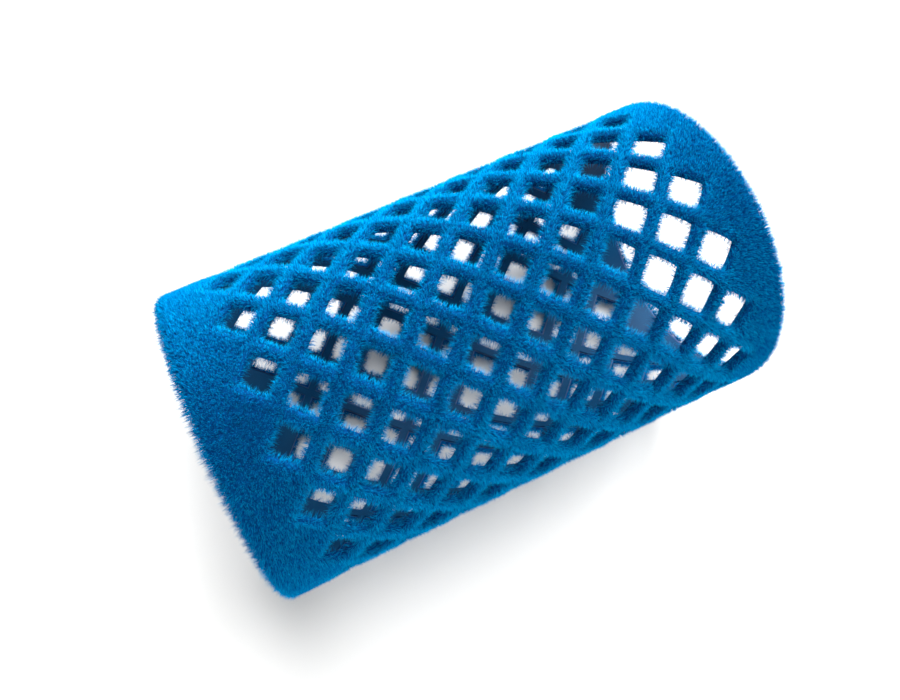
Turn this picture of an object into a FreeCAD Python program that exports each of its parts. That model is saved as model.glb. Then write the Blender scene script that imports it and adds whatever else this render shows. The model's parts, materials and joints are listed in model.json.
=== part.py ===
"""Flocked mesh hair roller: a one-piece plastic mesh tube, the adhesive film on it and its nylon pile.

Frame: millimetres. The tube's axis lies along +X, +Z is up as the roller lies on a table, and the origin
is on the axis at mid-length. The tube is glued and flocked outside, on its rims and on its windows' walls,
down to a bare lip at the inside of each window. The bore is bare plastic.
"""

import FreeCAD, Part
import math
import os
import sys

import Sketcher

# alias, value in millimetres unless it says otherwise, meaning
DIMENSIONS = [
    ("bore_radius", 16.5, "inside of the moulded tube"),
    ("wall", 0.6, "wall of the moulded tube"),
    ("core_length", 58.2, "moulded tube, rim to rim"),
    ("window_rows", 16, "a count: windows round the tube in one column"),
    ("window_columns", 15, "a count: columns of windows along the tube"),
    ("column_pitch", 3.28, "from one column of windows to the next, along the axis"),
    ("lattice_shift", 0.5, "from mid-length to the middle of the lattice, towards +X"),
    ("lattice_turn", -14.5, "degrees about the axis from straight up to the first row of windows"),
    ("window_share", 0.785, "a share: a window's diagonals over the lattice cell's"),
    ("glue", 0.1, "adhesive film"),
    ("pile", 0.8, "height of the pile over the film"),
    ("window_pile", 0.25, "height of the packed pile on a window's walls"),
    ("bare_lip", 0.2, "inner edge of a window's walls, which has no adhesive and no pile"),
    ("pile_round", 0.6, "rounding of the pile at the outer edge of each end"),
    ("tool_margin", 1.0, "how far a cut runs past what it cuts"),
]

CORE_RADIUS = "(dims.bore_radius + dims.wall)"
GLUED_RADIUS = "(dims.bore_radius + dims.wall + dims.glue)"
PILE_RADIUS = "(dims.bore_radius + dims.wall + dims.glue + dims.pile)"
CORE_HALF_LENGTH = "(dims.core_length / 2)"
GLUED_HALF_LENGTH = "(dims.core_length / 2 + dims.glue)"
ALONG_X = FreeCAD.Vector(1, 0, 0)
ORIGIN = FreeCAD.Vector(0, 0, 0)


def make_sheet(doc):
    """The spreadsheet of driving dimensions."""
    sheet = doc.addObject("Spreadsheet::Sheet", "dims")
    for row, (alias, value, meaning) in enumerate(DIMENSIONS, start=1):
        sheet.set(f"A{row}", alias)
        sheet.set(f"B{row}", str(value))
        sheet.set(f"C{row}", meaning)
        sheet.setAlias(f"B{row}", alias)
    doc.recompute()
    return sheet


def role(body, name):
    """One of a body's own origin planes or axes."""
    return next(f for f in body.Origin.OriginFeatures if f.Role == name)


def add_body(label):
    body = doc.addObject("PartDesign::Body", label)
    body.Label = label
    return body


def add_sketch(body, name, plane):
    """An empty sketch on one of the body's origin planes."""
    sketch = body.newObject("Sketcher::SketchObject", name)
    sketch.AttachmentSupport = [(role(body, plane), "")]
    sketch.MapMode = "FlatFace"
    return sketch


def add_named(sketch, name, expression, *constraint):
    """A dimension of the sketch that is bound to the sheet."""
    index = sketch.addConstraint(Sketcher.Constraint(*constraint))
    sketch.renameConstraint(index, name)
    sketch.setExpression(f"Constraints.{name}", expression)


def add_ring(body, inner, outer, length, symmetric):
    """Pad a ring about the X axis, on both sides of the YZ plane or towards +X only."""
    sketch = add_sketch(body, f"{body.Label}_section", "YZ_Plane")
    for name, radius in (("inner", inner), ("outer", outer)):
        drawn = Part.Circle(ORIGIN, FreeCAD.Vector(0, 0, 1), 10)
        circle = sketch.addGeometry(drawn, False)
        sketch.addConstraint(Sketcher.Constraint("Coincident", circle, 3, -1, 1))
        add_named(sketch, name, radius, "Radius", circle, 10)
    ring = body.newObject("PartDesign::Pad", f"{body.Label}_ring")
    ring.Profile = sketch
    if symmetric:
        ring.SideType = "Symmetric"
    ring.setExpression("Length", length)
    doc.recompute()
    return ring


def add_window_outline(body, name, lining):
    """A rhombus above the tube: one window of the lattice, smaller by its lining on every side.

    It has the lattice cell's own proportions, so that the ribs between windows are straight.
    """
    sketch = add_sketch(body, name, "XY_Plane")
    corners = [FreeCAD.Vector(*at) for at in ((2, 0, 0), (0, 2, 0), (-2, 0, 0), (0, -2, 0))]
    sides = []
    for here, following in zip(corners, corners[1:] + corners[:1]):
        sides.append(sketch.addGeometry(Part.LineSegment(here, following), False))
    for side, following in zip(sides, sides[1:] + sides[:1]):
        sketch.addConstraint(Sketcher.Constraint("Coincident", side, 2, following, 1))
    for first, opposite, axis in ((sides[0], sides[2], -1), (sides[1], sides[3], -2)):
        sketch.addConstraint(Sketcher.Constraint("PointOnObject", first, 1, axis))
        sketch.addConstraint(Sketcher.Constraint("Symmetric", first, 1, opposite, 1, -1, 1))

    half_along = "(dims.window_share * dims.column_pitch)"
    half_round = f"(dims.window_share * pi * {CORE_RADIUS} / dims.window_rows)"
    side_length = f"hypot({half_along}; {half_round})"
    add_named(
        sketch,
        "half_along",
        f"{half_along} - {lining} * {side_length} / {half_round}",
        *("DistanceX", -1, 1, sides[0], 1, 2),
    )
    add_named(
        sketch,
        "half_round",
        f"{half_round} - {lining} * {side_length} / {half_along}",
        *("DistanceY", -1, 1, sides[1], 1, 2),
    )
    return sketch


def cut_windows(body, outer, lining):
    """Cut every window of the lattice through the body's wall.

    The first column starts straight up. The odd columns are turned by half a window, which staggers them.
    """
    for phase, name in enumerate(("even", "odd")):
        outline = add_window_outline(body, f"{body.Label}_{name}_outline", lining)
        turn = f"({phase} * 180 deg / dims.window_rows)"
        above = f"({outer} + dims.tool_margin)"
        first_column = "(dims.lattice_shift - dims.column_pitch * (dims.window_columns - 1) / 2)"
        outline.AttachmentOffset = FreeCAD.Placement(ORIGIN, FreeCAD.Rotation(ALONG_X, 1))
        outline.setExpression(
            "AttachmentOffset.Base.x", f"{first_column} + {phase} * dims.column_pitch"
        )
        outline.setExpression("AttachmentOffset.Base.y", f"-{above} * sin({turn})")
        outline.setExpression("AttachmentOffset.Base.z", f"{above} * cos({turn})")
        outline.setExpression("AttachmentOffset.Rotation.Angle", turn)
        doc.recompute()

        uncut = body.Shape.Volume
        window = body.newObject("PartDesign::Pocket", f"{body.Label}_{name}_window")
        window.Profile = outline
        window.setExpression("Length", f"{outer} - dims.bore_radius + 2 * dims.tool_margin")
        doc.recompute()
        if not window.Shape.Volume < uncut:
            sys.exit(f"{window.Name} cuts nothing")

        gaps = f"floor((dims.window_columns - 1 - {phase}) / 2)"
        columns = doc.addObject("PartDesign::LinearPattern", f"{window.Name}_columns")
        columns.Direction = (role(body, "X_Axis"), [""])
        columns.setExpression("Length", f"2 * dims.column_pitch * {gaps}")
        columns.setExpression("Occurrences", f"{gaps} + 1")
        rows = doc.addObject("PartDesign::PolarPattern", f"{window.Name}_rows")
        rows.Axis = (role(body, "X_Axis"), [""])
        rows.Angle = 360
        rows.setExpression("Occurrences", "dims.window_rows")
        lattice = body.newObject("PartDesign::MultiTransform", f"{window.Name}_lattice")
        lattice.Originals = [window]
        body.addObject(columns)
        body.addObject(rows)
        lattice.Transformations = [columns, rows]
        body.Tip = lattice
        doc.recompute()


def turn_with_lattice(thing):
    """Turn a piece about the tube's axis to where the lattice starts."""
    thing.Placement = FreeCAD.Placement(ORIGIN, FreeCAD.Rotation(ALONG_X, 1))
    thing.setExpression("Placement.Rotation.Angle", "dims.lattice_turn * 1 deg")


def add_mesh_tube(label, inner, outer, half_length, lining):
    """A tube about the X axis with the whole lattice of windows cut through its wall."""
    body = add_body(label)
    add_ring(body, inner, outer, f"2 * {half_length}", symmetric=True)
    cut_windows(body, outer, lining)
    turn_with_lattice(body)
    return body


def add_end_ring(label, outer, start, thickness, side):
    """A ring on one end of the tube, as open as the bore. Side is 1 at the +X end and -1 at the other."""
    body = add_body(label)
    add_ring(body, "dims.bore_radius", outer, thickness, symmetric=False)
    facing = FreeCAD.Rotation(FreeCAD.Vector(0, 0, 1), 0 if side > 0 else 180)
    body.Placement = FreeCAD.Placement(ORIGIN, facing)
    body.setExpression("Placement.Base.x", f"{side} * {start}")
    return body


def round_outer_edge(body):
    """Round the pile off where its end face meets its outside."""
    ring = body.Tip
    end = ring.Length.Value
    outside = max(edge.Curve.Radius for edge in ring.Shape.Edges if isinstance(edge.Curve, Part.Circle))
    for number, edge in enumerate(ring.Shape.Edges, start=1):
        if not isinstance(edge.Curve, Part.Circle):
            continue
        if abs(edge.Curve.Radius - outside) < 1e-6 and abs(edge.Curve.Center.x - end) < 1e-6:
            outer_edge = f"Edge{number}"
    fillet = body.newObject("PartDesign::Fillet", f"{body.Label}_rounding")
    fillet.Base = (ring, [outer_edge])
    fillet.setExpression("Radius", "dims.pile_round")
    body.Tip = fillet
    doc.recompute()


def window_prism(lining):
    """The space inside one window straight above the origin, smaller by its lining on every side."""
    radius = sheet.bore_radius + sheet.wall
    half_along = sheet.window_share * sheet.column_pitch
    half_round = sheet.window_share * math.pi * radius / sheet.window_rows
    side = math.hypot(half_along, half_round)
    along = half_along - lining * side / half_round
    across = half_round - lining * side / half_along
    corners = ((along, 0, 0), (0, across, 0), (-along, 0, 0), (0, -across, 0), (along, 0, 0))
    outline = Part.makePolygon([FreeCAD.Vector(*corner) for corner in corners])
    return Part.Face(outline).extrude(FreeCAD.Vector(0, 0, 2 * radius))


def add_window_linings(label, outside, inside):
    """A lining on the walls of every window, from one depth of lining to another.

    It covers the tube's wall and its film, down to the bare lip. Each one is a solid of its own, so the node
    is a group.
    """
    radius = sheet.bore_radius + sheet.wall + sheet.glue
    reach = sheet.column_pitch
    start = FreeCAD.Vector(-reach, 0, 0)
    wall = Part.makeCylinder(radius, 2 * reach, start, ALONG_X).cut(
        Part.makeCylinder(sheet.bore_radius + sheet.bare_lip, 2 * reach, start, ALONG_X)
    )
    lining = window_prism(outside).cut(window_prism(inside)).common(wall)
    columns = int(sheet.window_columns)
    rows = int(sheet.window_rows)
    linings = []
    for column in range(columns):
        x = sheet.lattice_shift + (column - (columns - 1) / 2) * sheet.column_pitch
        for row in range(rows):
            placed = lining.copy()
            placed.translate(FreeCAD.Vector(x, 0, 0))
            placed.rotate(ORIGIN, ALONG_X, (row + column % 2 / 2) * 360 / rows)
            linings.extend(placed.Solids)
    group = doc.addObject("Part::Feature", label)
    group.Label = label
    group.Shape = Part.makeCompound(linings)
    turn_with_lattice(group)
    return group


def add_core_tube():
    """The moulding: a stiff tube with two plain bands at its ends and ribs between the windows."""
    return add_mesh_tube("core_tube", "dims.bore_radius", CORE_RADIUS, CORE_HALF_LENGTH, "0")


def add_glue_film():
    """The film of adhesive: on the outside, on both rims and on the windows' walls."""
    outside = add_mesh_tube("outer_film", CORE_RADIUS, GLUED_RADIUS, GLUED_HALF_LENGTH, "0")
    rims = [
        add_end_ring(f"{name}_rim_film", CORE_RADIUS, CORE_HALF_LENGTH, "dims.glue", side)
        for name, side in (("left", -1), ("right", 1))
    ]
    windows = add_window_linings("window_film", 0, sheet.glue)
    film = doc.addObject("Part::Compound", "glue_film")
    film.Label = "glue_film"
    film.Links = [outside, *rims, windows]
    return film


def add_pile():
    """The pile, grouped by the face that its fibres stand on."""
    outer = add_mesh_tube("outer_pile", GLUED_RADIUS, PILE_RADIUS, GLUED_HALF_LENGTH, "dims.glue")
    rims = []
    for name, side in (("left", -1), ("right", 1)):
        rim = add_end_ring(f"{name}_rim_pile", PILE_RADIUS, GLUED_HALF_LENGTH, "dims.pile", side)
        round_outer_edge(rim)
        rims.append(rim)
    windows = add_window_linings("window_pile", sheet.glue, sheet.glue + sheet.window_pile)
    return [outer, *rims, windows]


def check_and_export(nodes):
    """Stop at any failed object or bad shape, then write one STEP file for each node."""
    doc.recompute()
    for thing in doc.Objects:
        if {"Invalid", "Error"} & set(thing.State):
            sys.exit(f"{thing.Name} is {thing.State}")
    os.makedirs("parts", exist_ok=True)
    for node in nodes:
        shape = node.Shape
        if shape.isNull() or not shape.isValid() or not shape.Solids:
            sys.exit(f"{node.Label} has no sound shape")
        shape.exportStep(f"parts/{node.Label}.step")
        box = shape.BoundBox
        print(
            f"{node.Label}: {len(shape.Solids)} solids, {shape.Volume:.1f} mm3,"
            f" x {box.XMin:.2f} to {box.XMax:.2f}, z {box.ZMin:.2f} to {box.ZMax:.2f}"
        )


doc = FreeCAD.newDocument("flocked_roller")
sheet = make_sheet(doc)
check_and_export([add_core_tube(), add_glue_film(), *add_pile()])
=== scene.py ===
"""Looks of the flocked mesh hair roller: its nylon pile fibre by fibre, its moulded core, and the studio."""

import json
import math

import bmesh
import bpy
import numpy as np
from mathutils import Matrix, Vector
from mathutils.kdtree import KDTree


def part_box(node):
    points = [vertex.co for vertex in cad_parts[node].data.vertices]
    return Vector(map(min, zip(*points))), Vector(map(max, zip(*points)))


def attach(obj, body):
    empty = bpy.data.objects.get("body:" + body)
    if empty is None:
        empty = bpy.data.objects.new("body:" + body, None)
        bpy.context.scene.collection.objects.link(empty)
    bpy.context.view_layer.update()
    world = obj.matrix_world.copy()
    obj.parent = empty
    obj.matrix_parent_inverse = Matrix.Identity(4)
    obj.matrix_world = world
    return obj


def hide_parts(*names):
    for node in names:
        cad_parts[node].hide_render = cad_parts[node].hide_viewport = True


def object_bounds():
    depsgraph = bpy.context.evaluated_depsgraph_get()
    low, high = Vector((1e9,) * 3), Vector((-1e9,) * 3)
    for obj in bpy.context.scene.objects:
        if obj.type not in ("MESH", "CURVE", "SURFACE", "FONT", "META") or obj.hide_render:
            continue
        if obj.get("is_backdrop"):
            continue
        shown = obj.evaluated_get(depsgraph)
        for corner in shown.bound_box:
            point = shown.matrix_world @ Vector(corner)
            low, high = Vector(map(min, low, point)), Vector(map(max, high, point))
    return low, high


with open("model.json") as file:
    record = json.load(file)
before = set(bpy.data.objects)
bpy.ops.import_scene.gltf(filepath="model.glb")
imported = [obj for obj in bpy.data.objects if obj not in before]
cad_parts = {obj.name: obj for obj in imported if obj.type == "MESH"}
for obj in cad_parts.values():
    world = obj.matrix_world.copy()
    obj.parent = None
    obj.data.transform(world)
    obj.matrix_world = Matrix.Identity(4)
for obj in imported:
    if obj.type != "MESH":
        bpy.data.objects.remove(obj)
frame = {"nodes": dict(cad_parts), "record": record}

CAD_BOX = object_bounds()
MM = 0.001
BODY = "root"

# The lattice of windows, as in the CAD model.
ROWS = 16
COLUMNS = 15
PITCH = 3.28 * MM
LATTICE_SHIFT = 0.5 * MM
LATTICE_TURN = math.radians(-14.5)
HALF_ROW = math.pi / ROWS

MOUNTS = {mount["name"]: mount for mount in frame["record"]["mounts"]}
BORE_RADIUS = MOUNTS["through_bore"]["dims"]["r_mm"] * MM
CORE_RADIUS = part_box("core_tube")[1].z
GLUE_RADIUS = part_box("glue_film")[1].z
PILE_RADIUS = -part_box("outer_pile")[0].z
GLUE_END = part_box("glue_film")[1].x
FLOOR = -PILE_RADIUS

# A window's walls have no pile next to the bore.
BARE_RADIUS = BORE_RADIUS + 0.2 * MM

# The felt is the imported lower part of the pile, too dense to see into, coloured dark as painted shade;
# single fibres stand out of it.
# Its back lies inside the adhesive, and on the rims its inner edge ends just off the bore.
FELT_RADIUS = PILE_RADIUS - 0.50 * MM
FELT_END = GLUE_END + 0.28 * MM
FELT_BACK = GLUE_RADIUS - 0.05 * MM
FELT_BORE = BORE_RADIUS + 0.03 * MM
BAND_END = GLUE_END - 0.45 * MM
BACK_END = GLUE_END - 0.1 * MM
BAND_STEPS = 7
POINTS_PER_SIDE = 6
MERGE_GRID = 1e-4 * MM
ROUNDING = 1e-9

# A CAD node's vertices closer than this are one, and its edges sharper than this stay sharp.
WELD_GAP = 0.001 * MM
SHARP_ANGLE = math.radians(30)

# One fibre is a slim closed spindle: its root, two points beside its widest place, and its tip. Its length
# and thickness vary between these shares of its bed's, and none comes nearer to the table than the gap.
FIBRE_TRIANGLES = np.array([(0, 2, 1), (3, 1, 2), (0, 1, 3), (0, 3, 2)])
WIDEST_PLACE = 0.42
FIBRE_HEIGHTS = np.array([0.02, WIDEST_PLACE, WIDEST_PLACE, 0.98])
FIBRE_SIDES = np.array([0, -1, 1, 0])
FIBRE_SUNK = 0.15 * MM
LENGTH_LIMITS = (0.3, 1.5)
THICKNESS_LIMITS = (0.75, 1.25)
TABLE_GAP = 0.02 * MM

# Neighbouring fibres lean slightly alike and have slightly alike tones, over patches of these sizes.
COMBED_SIZE = 1.6 * MM
COMBED_LEAN = 0.05
TONE_PATCH_SIZE = 2.5 * MM
TONE_PATCH_SPREAD = 0.07

# A fibre's tone runs from 0, deep, to 1, bright. It is the place of the fibre's middle across the UV map,
# and the fibre's sides lie this far beside it.
TONE_SPREAD = 0.42
TONE_LIMITS = (0.03, 0.97)
FIBRE_MAP_SIDE = 0.006

# Fibres go into pieces of at most this many triangles. A piece of over 200,000
# triangles would be thinned out in the STL files.
MOST_TRIANGLES = 198_000

NOISE_TABLE = 32
NOISE_ROUGHNESS = 0.55
SEED = 20

# Each bed of fibres: its kind of felt, fibres per square metre, their length and its unevenness, how far
# they lean at random, the share of them that lead a tuft, how far the others are pulled to it, their
# thickness and their mean tone.
PILE_BEDS = [
    # The end bands' low mean tone is painted shade: their fibres are the same flock as the ribs'.
    dict(
        name="band_fibres", kind="band", density=160e6, length=0.50 * MM, unevenness=0.26,
        lean=0.26, tufts=0.20, pull=0.14, thickness=0.036 * MM, tone=0.29,
    ),
    dict(
        name="rib_fibres", kind="outer", density=150e6, length=0.50 * MM, unevenness=0.28,
        lean=0.32, tufts=0.20, pull=0.15, thickness=0.037 * MM, tone=0.62,
    ),
    dict(
        name="edge_fibres", kind="edge", density=115e6, length=0.56 * MM, unevenness=0.34,
        lean=0.36, tufts=0.20, pull=0.13, thickness=0.035 * MM, tone=0.62,
    ),
    dict(
        name="window_fibres", kind="wall", density=55e6, length=0.68 * MM, unevenness=0.36,
        lean=0.40, tufts=0.20, pull=0.10, thickness=0.037 * MM, tone=0.56,
    ),
    dict(
        name="shoulder_fibres", kind="shoulder", density=140e6, length=0.68 * MM, unevenness=0.36,
        lean=0.34, tufts=0.18, pull=0.15, thickness=0.036 * MM, tone=0.42,
    ),
    dict(
        name="rim_fibres", kind="rim", density=120e6, length=0.88 * MM, unevenness=0.30,
        lean=0.26, tufts=0.16, pull=0.20, thickness=0.037 * MM, tone=0.60,
    ),
]

# The camera is close above the roller, over its left end. Its place, target, lens and sensor are in
# millimetres, its heading in degrees from +X, its shift in shares of the picture's width, and the nearest
# and furthest that it sees in metres.
CAMERA_PLACE = (-18.5, -1.75, 88.7)
CAMERA_TARGET = (-3.75, 2.05, 0.0)
CAMERA_HEADING = 65.45
CAMERA_LENS = 30.84
CAMERA_SHIFT = (0.0215, -0.016)
CAMERA_SENSOR = 36
CAMERA_REACH = (2 * MM, 10)

# Soft white boxes of light: name, place in metres, side in metres, watts.
LIGHTS = [
    ("key", (0.18, 0.46, 0.26), 0.38, 6.5),
    ("side", (0.48, 0.16, 0.22), 0.30, 2.2),
    ("top", (0.20, 0.22, 0.50), 0.40, 5.2),
    ("fill", (-0.28, -0.44, 0.14), 0.35, 3.8),
]
WORLD_STRENGTH = 0.08
TABLE_HALF = 1.5


# ---------------------------------------------------------------- geometry helpers

def at(x, angle, radius):
    """Points of the row frame from places on the tube: along it, round it from its top, and its radius."""
    x, angle, radius = np.broadcast_arrays(x, angle, radius)
    return np.stack([x, -radius * np.sin(angle), radius * np.cos(angle)], axis=-1)


def column_x(column):
    """The middle of a column of windows, along the tube."""
    return LATTICE_SHIFT + (column - (COLUMNS - 1) / 2) * PITCH


def row_angle(column, row):
    """The middle of a window round the tube; odd columns are half a row further on."""
    return LATTICE_TURN + (row + column % 2 / 2) * 2 * HALF_ROW


def unit(vectors):
    return vectors / np.linalg.norm(vectors, axis=1)[:, None]


def grid_quads(points):
    """The quads between neighbouring points of a grid."""
    return np.stack(
        [points[:-1, :-1], points[1:, :-1], points[1:, 1:], points[:-1, 1:]], axis=2
    ).reshape(-1, 4, 3)


def value_noise(points, cell, seed):
    """A smooth random vector at each point, that changes over about one cell."""
    rng = np.random.default_rng(seed)
    table = rng.normal(size=(NOISE_TABLE, NOISE_TABLE, NOISE_TABLE, 3))
    scaled = points / cell
    base = np.floor(scaled).astype(int)
    part = scaled - base
    part = part * part * (3 - 2 * part)
    total = np.zeros_like(points)
    for corner in np.ndindex(2, 2, 2):
        index = (base + corner) % NOISE_TABLE
        weight = np.prod(np.where(corner, part, 1 - part), axis=1)
        total += table[index[:, 0], index[:, 1], index[:, 2]] * weight[:, None]
    return total


def mesh_object(name, vertices, faces):
    """A mesh object from arrays of vertices and of faces that all have as many corners."""
    mesh = bpy.data.meshes.new(name)
    corners = faces.shape[1]
    mesh.vertices.add(len(vertices))
    mesh.vertices.foreach_set("co", vertices.astype(np.float32).ravel())
    mesh.loops.add(faces.size)
    mesh.loops.foreach_set("vertex_index", faces.astype(np.int32).ravel())
    mesh.polygons.add(len(faces))
    mesh.polygons.foreach_set("loop_start", np.arange(0, faces.size, corners, dtype=np.int32))
    mesh.update(calc_edges=True)
    mesh.shade_smooth()
    made = bpy.data.objects.new(name, mesh)
    bpy.context.scene.collection.objects.link(made)
    return made


# ---------------------------------------------------------------- felt

def cell_outline():
    """Points evenly spaced round a lattice cell's four sides, as shares of its half-diagonals."""
    step = np.arange(POINTS_PER_SIDE) / POINTS_PER_SIDE
    side = np.stack([1 - step, step], axis=1)
    sides = [side]
    for _ in range(3):
        side = np.stack([-side[:, 1], side[:, 0]], axis=1)
        sides.append(side)
    around = np.concatenate(sides)
    return np.concatenate([around, around[:1]])


def rounded_cell(share, roundness):
    """An outline round a window, as shares of the cell's half-diagonals.

    It is a rhombus at roundness 1, and an ellipse at 2.
    """
    direction = cell_outline()
    reach = (np.abs(direction) ** roundness).sum(axis=1) ** (-1 / roundness)
    middle_of_side = (2 * 0.5**roundness) ** (-1 / roundness)
    return direction * (reach * share / middle_of_side)[:, None]


# Outlines from the middle of the ribs over the window's rounded edge, down its wall and back behind it:
# share of the cell, roundness, radius, and the kind of felt from there to the next outline.
CELL_OUTLINES = [
    (1.000, 1.00, FELT_RADIUS, "outer"),
    (0.940, 1.00, FELT_RADIUS - 0.01 * MM, "outer"),
    (0.890, 1.02, FELT_RADIUS - 0.03 * MM, "edge"),
    (0.850, 1.04, FELT_RADIUS - 0.065 * MM, "edge"),
    (0.815, 1.06, FELT_RADIUS - 0.11 * MM, "edge"),
    (0.785, 1.08, FELT_RADIUS - 0.165 * MM, "edge"),
    (0.765, 1.09, FELT_RADIUS - 0.215 * MM, "edge"),
    (0.750, 1.10, FELT_RADIUS - 0.27 * MM, "edge"),
    (0.737, 1.12, FELT_RADIUS - 0.36 * MM, "wall"),
    (0.733, 1.13, BARE_RADIUS + 0.08 * MM, "wall"),
    (0.740, 1.11, BARE_RADIUS, "back"),
    (0.765, 1.00, BARE_RADIUS + 0.02 * MM, "back"),
    (0.765, 1.00, FELT_BACK, "back"),
    (1.000, 1.00, FELT_BACK, None),
]

# Outlines from an end band over its shoulder, down the rim and back inside it: place along the tube,
# radius, and the kind of felt from there to the next outline.
RIM_OUTLINES = [
    (FELT_END - 0.52 * MM, FELT_RADIUS - 0.03 * MM, "shoulder"),
    (FELT_END - 0.30 * MM, FELT_RADIUS - 0.11 * MM, "shoulder"),
    (FELT_END - 0.12 * MM, FELT_RADIUS - 0.26 * MM, "shoulder"),
    (FELT_END - 0.03 * MM, FELT_RADIUS - 0.44 * MM, "rim"),
    (FELT_END, (FELT_RADIUS + BORE_RADIUS) / 2 - 0.06 * MM, "rim"),
    (FELT_END - 0.05 * MM, BORE_RADIUS + 0.22 * MM, "rim"),
    (FELT_END - 0.20 * MM, FELT_BORE, "back"),
    (BACK_END, FELT_BORE, "back"),
]
KINDS = ("band", "outer", "edge", "wall", "shoulder", "rim", "back")


def cell_patch(column, row):
    """The felt of one lattice cell, as quads and the kind of each.

    A window is as wide at every depth, so its outline takes up a larger angle nearer to the axis.
    """
    outlines = []
    for share, roundness, radius, _ in CELL_OUTLINES:
        outline = rounded_cell(share, roundness)
        on_rib = share == 1.0
        angle = outline[:, 1] * HALF_ROW * (1 if on_rib else CORE_RADIUS / radius)
        outlines.append(
            at(column_x(column) + outline[:, 0] * PITCH, row_angle(column, row) + angle, radius)
        )
    quads = grid_quads(np.array(outlines))
    kinds = [KINDS.index(kind) for *_, kind in CELL_OUTLINES if kind]
    return quads, np.repeat(kinds, 4 * POINTS_PER_SIDE)


def band_patch(side):
    """The felt of one plain end band and its rim, as quads and the kind of each.

    Side is 1 at +X and -1 at -X. The band begins at the zigzag where the last column's cells end.
    """
    column = COLUMNS - 1 if side > 0 else 0
    outline = cell_outline()[:-1]
    facing = outline[outline[:, 0] * side >= -ROUNDING]
    facing = facing[np.argsort(facing[:, 1])][:-1]
    x, angle = [], []
    for row in range(ROWS):
        x.append(column_x(column) + facing[:, 0] * PITCH)
        angle.append(row_angle(column, row) + facing[:, 1] * HALF_ROW)
    x = np.concatenate(x + [x[0][:1]])
    angle = np.concatenate(angle + [angle[0][:1] + 2 * math.pi])

    outlines, kinds = [], []
    for part in np.linspace(0, 1, BAND_STEPS):
        outlines.append(at(x + (side * BAND_END - x) * part, angle, FELT_RADIUS))
        kinds.append("band")
    for end, radius, kind in RIM_OUTLINES:
        outlines.append(at(side * end, angle, radius))
        kinds.append(kind)
    for part in np.linspace(1, 0, BAND_STEPS):
        outlines.append(at(x + (side * BACK_END - x) * part, angle, FELT_BACK))
        kinds.append("back")
    quads = grid_quads(np.array(outlines))
    return quads, np.repeat([KINDS.index(kind) for kind in kinds[:-1]], len(x) - 1)


def make_felt():
    """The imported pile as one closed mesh. Returns the object and the kind of each of its faces."""
    patches = [cell_patch(column, row) for column in range(COLUMNS) for row in range(ROWS)]
    patches += [band_patch(-1), band_patch(1)]
    quads = np.concatenate([patch[0] for patch in patches])
    kinds = np.concatenate([patch[1] for patch in patches])
    corners = np.round(quads.reshape(-1, 3) / MERGE_GRID).astype(np.int64)
    _, first, index = np.unique(corners, axis=0, return_index=True, return_inverse=True)
    felt = mesh_object("pile_felt", quads.reshape(-1, 3)[first], index.reshape(-1, 4))
    shape = bmesh.new()
    shape.from_mesh(felt.data)
    bmesh.ops.recalc_face_normals(shape, faces=shape.faces)
    shape.to_mesh(felt.data)
    shape.free()
    return felt, kinds


# ---------------------------------------------------------------- fibres

def vertex_vectors(mesh, attribute):
    """The place or the normal of each of a mesh's vertices."""
    values = np.empty(len(mesh.vertices) * 3, np.float32)
    mesh.vertices.foreach_get(attribute, values)
    return values.reshape(-1, 3).astype(float)


def scatter(felt, faces, density, rng):
    """Random points on some of the felt's faces, with the felt's smooth normal at each."""
    mesh = felt.data
    vertices = vertex_vectors(mesh, "co")
    normals = vertex_vectors(mesh, "normal")
    corners = np.empty(len(mesh.loops), np.int32)
    mesh.loops.foreach_get("vertex_index", corners)
    quads = corners.reshape(-1, 4)[faces]
    triangles = np.concatenate([quads[:, [0, 1, 2]], quads[:, [0, 2, 3]]])
    a, b, c = (vertices[triangles[:, i]] for i in range(3))
    area = np.linalg.norm(np.cross(b - a, c - a), axis=1) / 2
    count = int(area.sum() * density)
    chosen = triangles[rng.choice(len(triangles), size=count, p=area / area.sum())]
    u, v = rng.random(count), rng.random(count)
    flip = u + v > 1
    u[flip], v[flip] = 1 - u[flip], 1 - v[flip]
    weights = np.stack([1 - u - v, u, v], axis=1)[:, :, None]
    roots = (vertices[chosen] * weights).sum(axis=1)
    outward = (normals[chosen] * weights).sum(axis=1)
    return roots, unit(outward)


def gather(roots, tips, share, pull, rng):
    """Pull the tips of the fibres together into tufts, each round one of a share of them."""
    centres = rng.choice(len(roots), size=int(len(roots) * share), replace=False)
    tree = KDTree(len(centres))
    for index in centres:
        tree.insert(roots[index], index)
    tree.balance()
    nearest = np.array([tree.find(root)[1] for root in roots])
    return tips + (tips[nearest] - tips) * pull


def spindles(roots, outward, bed, rng):
    """Four points for each fibre. Fibres lean at random and gather into tufts."""
    count = len(roots)
    leaning = rng.normal(size=(count, 3)) * bed["lean"]
    leaning += value_noise(roots, COMBED_SIZE, SEED + 1) * COMBED_LEAN
    spread = np.clip(rng.normal(1.0, bed["unevenness"], count), *LENGTH_LIMITS)
    root = roots - outward * FIBRE_SUNK
    tip = roots + unit(outward + leaning) * (bed["length"] * spread)[:, None]
    tip = gather(roots, tip, bed["tufts"], bed["pull"], rng)
    tip[:, 2] = np.maximum(tip[:, 2], FLOOR + TABLE_GAP)

    widest = root + (tip - root) * WIDEST_PLACE
    across = unit(np.cross(tip - root, rng.normal(size=(count, 3))))
    beside = np.cross(unit(tip - root), across)
    width = bed["thickness"] * rng.uniform(*THICKNESS_LIMITS, count)[:, None]
    sixth = math.pi / 6
    sides = [
        widest + (across * math.cos(sixth) + beside * math.sin(turn)) * width
        for turn in (-sixth, sixth)
    ]
    return np.stack([root, *sides, tip], axis=1)


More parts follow.
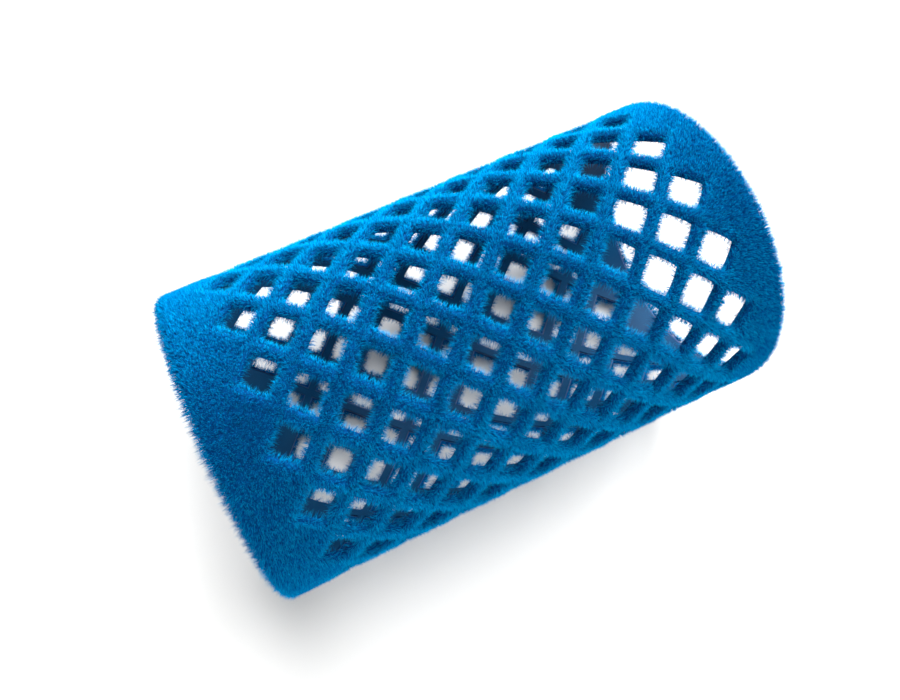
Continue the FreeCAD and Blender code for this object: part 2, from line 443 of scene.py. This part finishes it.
def grow(name, roots, outward, bed, rng):
    """Fibres on these roots, in pieces by their place round the tube, each small enough to be kept whole.

    The UV map holds each fibre's own tone across, and the height along it upwards.
    """
    points = spindles(roots, outward, bed, rng)
    tone = bed["tone"] + TONE_SPREAD * rng.normal(size=len(roots))
    tone += TONE_PATCH_SPREAD * value_noise(roots, TONE_PATCH_SIZE, SEED + 2)[:, 0]
    tone = np.clip(tone, *TONE_LIMITS)
    across_map = FIBRE_SIDES * FIBRE_MAP_SIDE

    order = np.argsort(np.arctan2(roots[:, 1], roots[:, 2]), kind="stable")
    pieces = math.ceil(len(roots) * len(FIBRE_TRIANGLES) / MOST_TRIANGLES)
    for number, chosen in enumerate(np.array_split(order, pieces), start=1):
        first = points.shape[1] * np.arange(len(chosen))
        faces = (FIBRE_TRIANGLES[None] + first[:, None, None]).reshape(-1, 3)
        piece = mesh_object(f"{name}_{number}", points[chosen].reshape(-1, 3), faces)
        corner = np.tile(FIBRE_TRIANGLES.ravel(), len(chosen))
        owner = np.repeat(tone[chosen], FIBRE_TRIANGLES.size)
        uv = np.stack([owner + across_map[corner], FIBRE_HEIGHTS[corner]], axis=1)
        layer = piece.data.uv_layers.new(name="OFBake")
        layer.data.foreach_set("uv", uv.astype(np.float32).ravel())
        yield piece


# ---------------------------------------------------------------- materials

def new_material(name):
    """A node material with one Principled shader. Returns the material, its tree and the shader."""
    material = bpy.data.materials.new(name)
    material.use_nodes = True
    tree = material.node_tree
    tree.nodes.clear()
    output = tree.nodes.new("ShaderNodeOutputMaterial")
    shader = tree.nodes.new("ShaderNodeBsdfPrincipled")
    tree.links.new(shader.outputs["BSDF"], output.inputs["Surface"])
    return material, tree, shader


def ramp(tree, factor, *stops):
    """A colour ramp of (place, colour) stops."""
    node = tree.nodes.new("ShaderNodeValToRGB")
    tree.links.new(factor, node.inputs["Fac"])
    elements = node.color_ramp.elements
    while len(elements) < len(stops):
        elements.new(0.5)
    for element, (place, colour) in zip(elements, stops):
        element.position = place
        element.color = (*colour, 1)
    return node.outputs["Color"]


def noise(tree, scale, detail):
    """Noise over the row frame, in features per metre."""
    place = tree.nodes.new("ShaderNodeTexCoord")
    node = tree.nodes.new("ShaderNodeTexNoise")
    tree.links.new(place.outputs["Object"], node.inputs["Vector"])
    node.inputs["Scale"].default_value = scale
    node.inputs["Detail"].default_value = detail
    node.inputs["Roughness"].default_value = NOISE_ROUGHNESS
    return node.outputs["Fac"]


def mix(tree, factor, first, second):
    """From the first colour to the second as the factor goes from 0 to 1."""
    node = tree.nodes.new("ShaderNodeMix")
    node.data_type = "RGBA"
    tree.links.new(factor, node.inputs["Factor"])
    tree.links.new(first, node.inputs["A"])
    tree.links.new(second, node.inputs["B"])
    return node.outputs["Result"]


def bump(tree, shader, height, distance):
    """Raise the surface by up to a distance where the height is 1."""
    node = tree.nodes.new("ShaderNodeBump")
    node.inputs["Distance"].default_value = distance
    tree.links.new(height, node.inputs["Height"])
    tree.links.new(node.outputs["Normal"], shader.inputs["Normal"])


def fibre_material():
    """Nylon fibre: azure with its own tone, and painted shade that makes it darker at the root than at the
    tip.
    """
    material, tree, shader = new_material("flock_fibre")
    place = tree.nodes.new("ShaderNodeUVMap")
    place.uv_map = "OFBake"
    split = tree.nodes.new("ShaderNodeSeparateXYZ")
    tree.links.new(place.outputs["UV"], split.inputs["Vector"])
    tone, height = split.outputs["X"], split.outputs["Y"]
    # Painted shade along each fibre: the colour darkens from the tip down to the root.
    deep = ramp(
        tree,
        height,
        (0.0, (0.0, 0.028, 0.130)),
        (0.55, (0.0, 0.058, 0.225)),
        (1.0, (0.0, 0.100, 0.330)),
    )
    bright = ramp(
        tree,
        height,
        (0.0, (0.0, 0.095, 0.320)),
        (0.55, (0.0, 0.255, 0.580)),
        (1.0, (0.0, 0.435, 0.735)),
    )
    tree.links.new(mix(tree, tone, deep, bright), shader.inputs["Base Color"])
    shader.inputs["Roughness"].default_value = 0.55
    shader.inputs["Specular IOR Level"].default_value = 0.0
    return material


def felt_painted_shade_material():
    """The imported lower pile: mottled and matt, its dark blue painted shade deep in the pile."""
    material, tree, shader = new_material("flock_felt_painted_shade")
    # Painted shade: these blues are darker than the fibres', for the shade inside the dense pile.
    mottle = ramp(
        tree,
        noise(tree, scale=2600, detail=4),
        (0.35, (0.0, 0.030, 0.110)),
        (0.65, (0.0, 0.070, 0.240)),
    )
    tree.links.new(mottle, shader.inputs["Base Color"])
    shader.inputs["Roughness"].default_value = 0.95
    shader.inputs["Specular IOR Level"].default_value = 0.05
    bump(tree, shader, noise(tree, scale=5200, detail=2), distance=0.08 * MM)
    return material


def plastic_material():
    """The moulding: smooth navy plastic with a satin skin and faint flow marks."""
    material, tree, shader = new_material("moulded_navy_plastic")
    flow = ramp(
        tree,
        noise(tree, scale=160, detail=4),
        (0.3, (0.003, 0.030, 0.080)),
        (0.7, (0.004, 0.045, 0.112)),
    )
    tree.links.new(flow, shader.inputs["Base Color"])
    sheen = tree.nodes.new("ShaderNodeMapRange")
    tree.links.new(noise(tree, scale=900, detail=3), sheen.inputs["Value"])
    sheen.inputs["To Min"].default_value = 0.30
    sheen.inputs["To Max"].default_value = 0.46
    tree.links.new(sheen.outputs["Result"], shader.inputs["Roughness"])
    shader.inputs["Specular IOR Level"].default_value = 0.04
    bump(tree, shader, noise(tree, scale=1400, detail=3), distance=0.012 * MM)
    return material


def glue_material():
    """The set adhesive: dark blue, uneven, slightly glossy."""
    material, tree, shader = new_material("set_adhesive")
    tint = ramp(
        tree,
        noise(tree, scale=1200, detail=3),
        (0.35, (0.004, 0.030, 0.105)),
        (0.65, (0.008, 0.055, 0.180)),
    )
    tree.links.new(tint, shader.inputs["Base Color"])
    shader.inputs["Roughness"].default_value = 0.5
    bump(tree, shader, noise(tree, scale=3000, detail=2), distance=0.02 * MM)
    return material


def floor_material():
    """A plain white table."""
    material, tree, shader = new_material("white_table")
    shader.inputs["Base Color"].default_value = (0.72, 0.72, 0.712, 1)
    shader.inputs["Roughness"].default_value = 0.9
    shader.inputs["Specular IOR Level"].default_value = 0.1
    return material


# ---------------------------------------------------------------- building

def dress(piece, material):
    """Give a piece one material."""
    piece.data.materials.clear()
    piece.data.materials.append(material)


def dress_cad_node(name, material):
    """A CAD node keeps its shape: it only gets its material and smooth round faces."""
    node = frame["nodes"][name]
    dress(node, material)
    weld = node.modifiers.new("weld", "WELD")
    weld.merge_threshold = WELD_GAP
    node.data.shade_smooth()
    edges = node.modifiers.new("sharp_edges", "EDGE_SPLIT")
    edges.split_angle = SHARP_ANGLE


def make_pile():
    """The felt, which stands for the four CAD nodes of pile, and every bed of fibres on it."""
    rng = np.random.default_rng(SEED)
    felt, kinds = make_felt()
    dress(felt, felt_painted_shade_material())
    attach(felt, BODY)
    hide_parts("outer_pile", "window_pile", "left_rim_pile", "right_rim_pile")
    fibre = fibre_material()

    for bed in PILE_BEDS:
        roots, outward = scatter(felt, kinds == KINDS.index(bed["kind"]), bed["density"], rng)
        for piece in grow(bed["name"], roots, outward, bed, rng):
            dress(piece, fibre)
            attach(piece, BODY)


def make_camera():
    """A wide lens close above the roller, over its left end, turned so that the tube lies aslant."""
    place = Vector(CAMERA_PLACE) * MM
    heading = math.radians(CAMERA_HEADING)
    back = (place - Vector(CAMERA_TARGET) * MM).normalized()
    right = Vector((math.cos(heading), math.sin(heading), 0)).cross(back).normalized()
    up = back.cross(right)
    data = bpy.data.cameras.new("camera")
    data.lens = CAMERA_LENS
    data.sensor_width = CAMERA_SENSOR
    data.shift_x, data.shift_y = CAMERA_SHIFT
    data.clip_start, data.clip_end = CAMERA_REACH
    camera = bpy.data.objects.new("camera", data)
    turn = Matrix((right, up, back)).transposed()
    camera.matrix_world = Matrix.Translation(place) @ turn.to_4x4()
    bpy.context.scene.collection.objects.link(camera)
    bpy.context.scene.camera = camera


def make_area_light(name, place, size, power):
    """A soft white box of light, aimed at the roller."""
    data = bpy.data.lights.new(name, "AREA")
    data.shape = "SQUARE"
    data.size = size
    data.energy = power
    light = bpy.data.objects.new(name, data)
    light.location = place
    light.rotation_mode = "QUATERNION"
    light.rotation_quaternion = (-Vector(place)).to_track_quat("-Z", "Y")
    bpy.context.scene.collection.objects.link(light)


def make_studio():
    """The table, the lights and the faint light all round."""
    corners = np.array(
        [(x * TABLE_HALF, y * TABLE_HALF, FLOOR) for x, y in ((-1, -1), (1, -1), (1, 1), (-1, 1))]
    )
    floor = mesh_object("table_top", corners, np.array([(0, 1, 2, 3)]))
    dress(floor, floor_material())
    floor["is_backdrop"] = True

    world = bpy.data.worlds.new("studio")
    world.use_nodes = True
    background = world.node_tree.nodes["Background"]
    background.inputs["Color"].default_value = (1, 1, 1, 1)
    background.inputs["Strength"].default_value = WORLD_STRENGTH
    bpy.context.scene.world = world
    for light in LIGHTS:
        make_area_light(*light)
    bpy.context.scene.view_settings.view_transform = "Standard"


make_camera()
make_studio()
dress_cad_node("core_tube", plastic_material())
dress_cad_node("glue_film", glue_material())
make_pile()

[[list(corner) for corner in box] for box in (CAD_BOX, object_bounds())]
